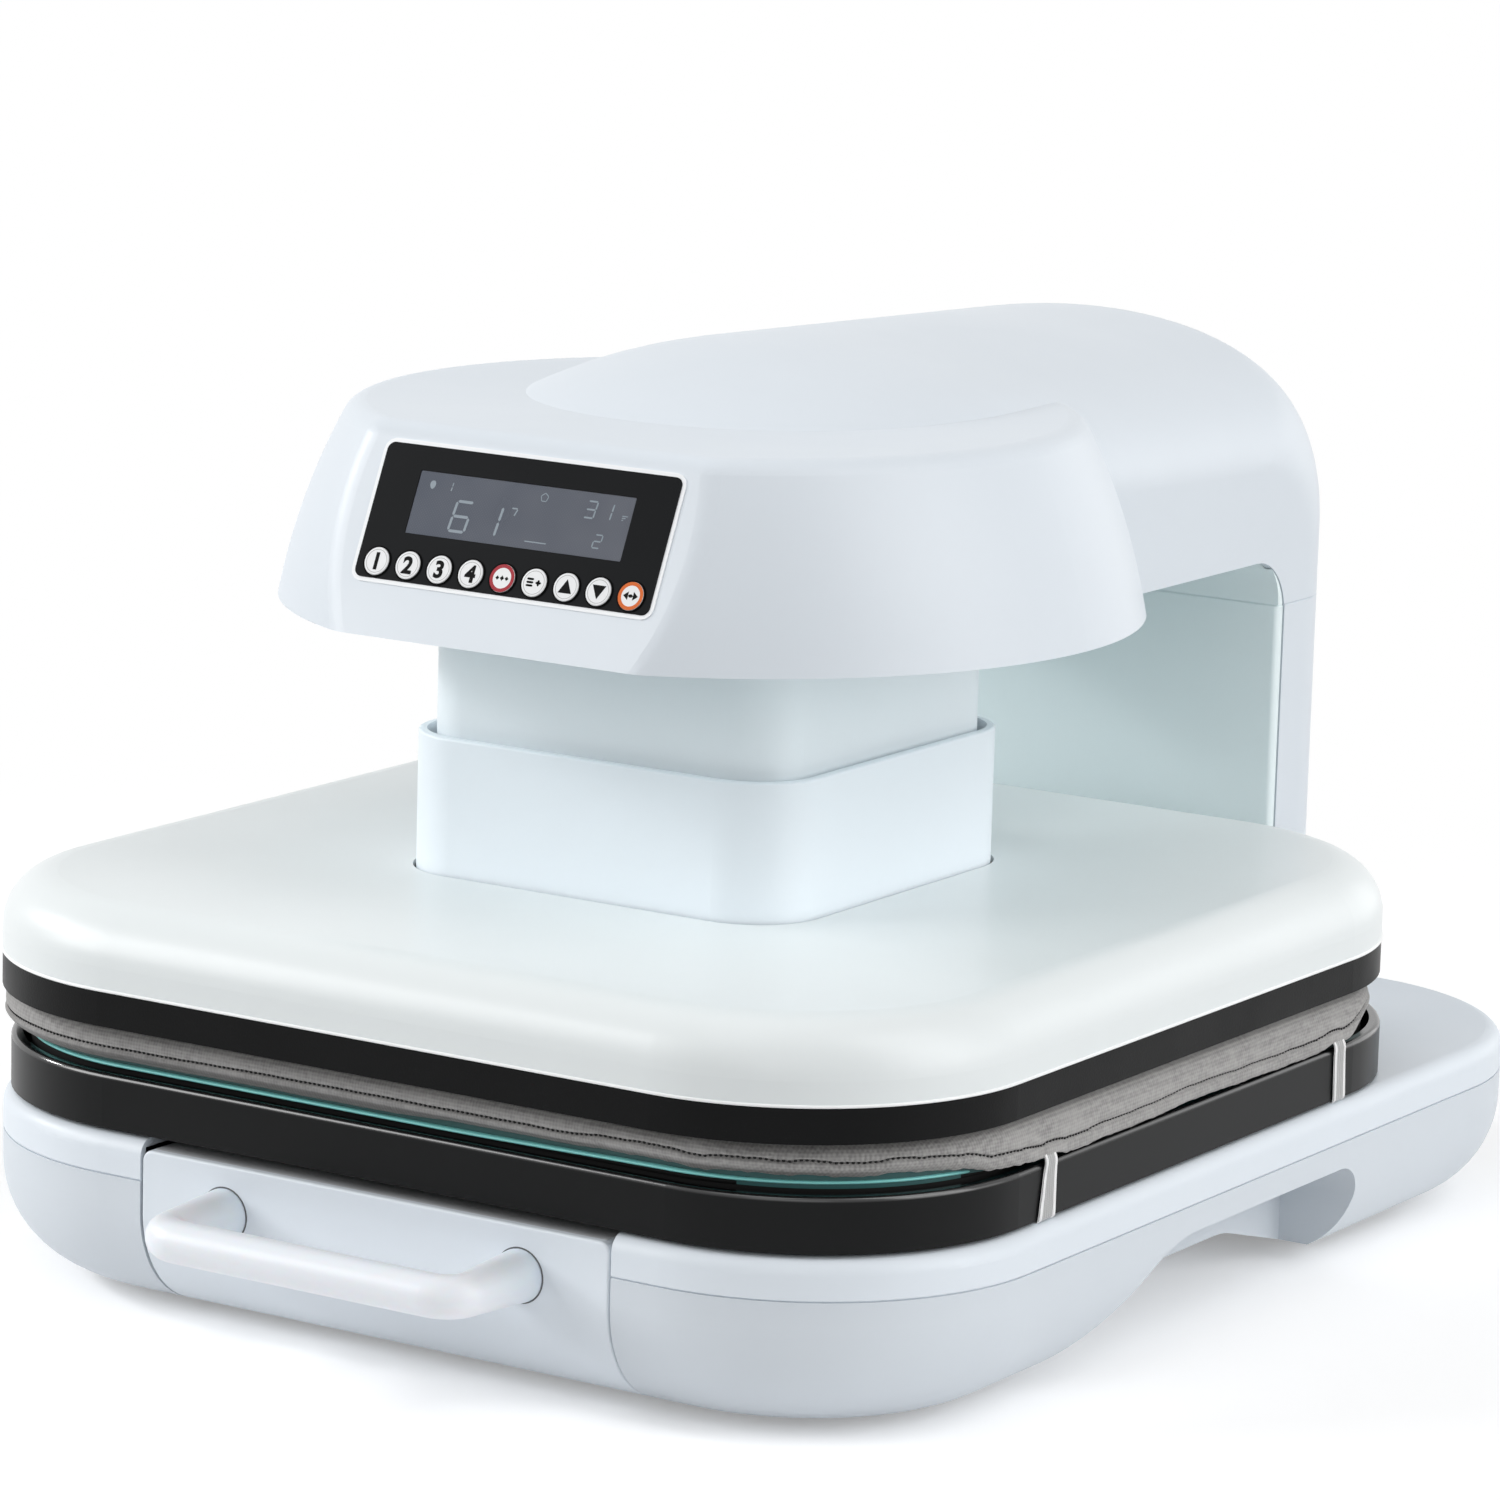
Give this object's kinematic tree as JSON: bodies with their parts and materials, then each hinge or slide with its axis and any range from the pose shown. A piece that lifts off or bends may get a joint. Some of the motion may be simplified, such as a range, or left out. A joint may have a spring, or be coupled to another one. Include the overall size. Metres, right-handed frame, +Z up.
{
  "type": "flat heat press",
  "caption": "Bench heat press with a motor-lifted square platen under an arched arm, a padded lower tray on a pull-out drawer and a leaning control panel",
  "frame": {"origin": "On the table plane, under the middle of the whole press with the drawer closed", "axes": "+Z up, -Y towards the user and the drawer handle, +X to the user's right"},
  "size_m": [0.407, 0.5466, 0.3274],
  "materials": {
    "white_shell": "satin moulded plastic, white with a slight blue-grey cast",
    "cover_white": "gloss white moulded plastic",
    "handle_white": "white coated handle",
    "panel_grey": "grey-green satin moulded plastic",
    "band_black": "dark heat-resistant moulded rim",
    "tray_black": "gloss black moulded tray",
    "black_plastic": "black moulded plastic",
    "bezel_black": "gloss black panel",
    "key_white": "white keys with printed symbols",
    "display_glass": "tinted display window",
    "circuit_board": "green circuit board",
    "rubber": "black rubber feet",
    "mat_silicone": "teal silicone mat",
    "pad_cloth": "warm grey heat-resistant cloth over felt",
    "strap_elastic": "white woven elastic",
    "frame_steel": "dark painted steel plate",
    "carriage_paint": "grey painted sheet steel",
    "zinc_steel": "zinc plated steel",
    "bright_steel": "ground bright steel",
    "plate_aluminium": "coated aluminium plate",
    "motor_metal": "cast and painted gearmotor housing",
    "bronze": "bronze",
    "board_fibre": "stiff insulating board"
  },
  "bodies": {
    "press": {"base_pan": "white_shell", "base_cover": "white_shell", "rubber_feet": "rubber", "c_frame_plates": "frame_steel", "base_tie": "frame_steel", "column_web": "frame_steel", "head_plate": "frame_steel", "arm_shell": "white_shell", "underside_panel": "panel_grey", "column_front_panel": "panel_grey", "column_shell": "white_shell", "inlet_socket": "black_plastic", "switch_frame": "black_plastic", "power_board": "circuit_board", "inner_skirt": "white_shell", "control_bezel": "bezel_black", "display_window": "display_glass", "display_module": "black_plastic", "key_board": "circuit_board", "guide_bushes": "bronze", "thrust_bearing": "bright_steel", "gearmotor": "motor_metal", "limit_switch": "black_plastic", "rails_outer": "zinc_steel", "pan_screws": "zinc_steel"},
    "drawer": {"drawer_front": "white_shell", "drawer_handle": "handle_white", "handle_screws": "zinc_steel", "rails_inner": "zinc_steel", "drawer_carriage": "carriage_paint", "tray_spacers": "black_plastic", "lower_tray": "tray_black", "lower_board": "board_fibre", "silicone_mat": "mat_silicone", "cloth_pad": "pad_cloth", "elastic_straps": "strap_elastic"},
    "slide_middles": {"rails_middle": "zinc_steel"},
    "platen": {"platen_cover": "cover_white", "platen_band": "band_black", "heating_plate": "plate_aluminium", "heating_element": "bright_steel", "insulation_board": "board_fibre", "thermal_cutout": "board_fibre", "pressure_plate": "frame_steel", "guide_posts": "bright_steel", "lead_nut": "bronze", "nut_tower": "frame_steel", "platen_bolts": "zinc_steel", "outer_skirt": "white_shell"},
    "screw": {"lead_screw": "bright_steel"},
    "rocker": {"power_rocker": "black_plastic"},
    "button_1": {"key_1": "key_white"},
    "button_2": {"key_2": "key_white"},
    "button_3": {"key_3": "key_white"},
    "button_4": {"key_4": "key_white"},
    "button_5": {"key_5": "key_white"},
    "button_6": {"key_6": "key_white"},
    "button_7": {"key_7": "key_white"},
    "button_8": {"key_8": "key_white"},
    "button_9": {"key_9": "key_white"}
  },
  "joints": [
    {"name": "platen_lift", "type": "slide", "parent": "press", "child": "platen", "axis": [0, 0, 1], "range_m": [0, 0.038]},
    {"name": "screw_turn", "type": "hinge", "parent": "press", "child": "screw", "pos_m": [0, -0.028, 0.22], "axis": [0, 0, -1], "range_deg": [0, 1710]},
    {"name": "drawer_slide", "type": "slide", "parent": "press", "child": "drawer", "axis": [0, -1, 0], "range_m": [0, 0.32]},
    {"name": "slide_middle_run", "type": "slide", "parent": "press", "child": "slide_middles", "axis": [0, -1, 0], "range_m": [0, 0.16]},
    {"name": "rocker_tilt", "type": "hinge", "parent": "press", "child": "rocker", "pos_m": [0, 0.26405, 0.122], "axis": [1, 0, 0], "range_deg": [0, 16]},
    {"name": "key_1_press", "type": "slide", "parent": "press", "child": "button_1", "axis": [0, 0.9114, -0.4115], "range_m": [0, 0.0005], "stiffness_N_per_m": 200, "springref_m": -0.0005},
    {"name": "key_2_press", "type": "slide", "parent": "press", "child": "button_2", "axis": [0, 0.9114, -0.4115], "range_m": [0, 0.0005], "stiffness_N_per_m": 200, "springref_m": -0.0005},
    {"name": "key_3_press", "type": "slide", "parent": "press", "child": "button_3", "axis": [0, 0.9114, -0.4115], "range_m": [0, 0.0005], "stiffness_N_per_m": 200, "springref_m": -0.0005},
    {"name": "key_4_press", "type": "slide", "parent": "press", "child": "button_4", "axis": [0, 0.9114, -0.4115], "range_m": [0, 0.0005], "stiffness_N_per_m": 200, "springref_m": -0.0005},
    {"name": "key_5_press", "type": "slide", "parent": "press", "child": "button_5", "axis": [0, 0.9114, -0.4115], "range_m": [0, 0.0005], "stiffness_N_per_m": 200, "springref_m": -0.0005},
    {"name": "key_6_press", "type": "slide", "parent": "press", "child": "button_6", "axis": [0, 0.9114, -0.4115], "range_m": [0, 0.0005], "stiffness_N_per_m": 200, "springref_m": -0.0005},
    {"name": "key_7_press", "type": "slide", "parent": "press", "child": "button_7", "axis": [0, 0.9114, -0.4115], "range_m": [0, 0.0005], "stiffness_N_per_m": 200, "springref_m": -0.0005},
    {"name": "key_8_press", "type": "slide", "parent": "press", "child": "button_8", "axis": [0, 0.9114, -0.4115], "range_m": [0, 0.0005], "stiffness_N_per_m": 200, "springref_m": -0.0005},
    {"name": "key_9_press", "type": "slide", "parent": "press", "child": "button_9", "axis": [0, 0.9114, -0.4115], "range_m": [0, 0.0005], "stiffness_N_per_m": 200, "springref_m": -0.0005}
  ],
  "couplings": [
    {"joint": "slide_middle_run", "follows": "drawer_slide", "ratio": 0.5},
    {"joint": "screw_turn", "follows": "platen_lift", "rad_per_m": 785.4}
  ]
}
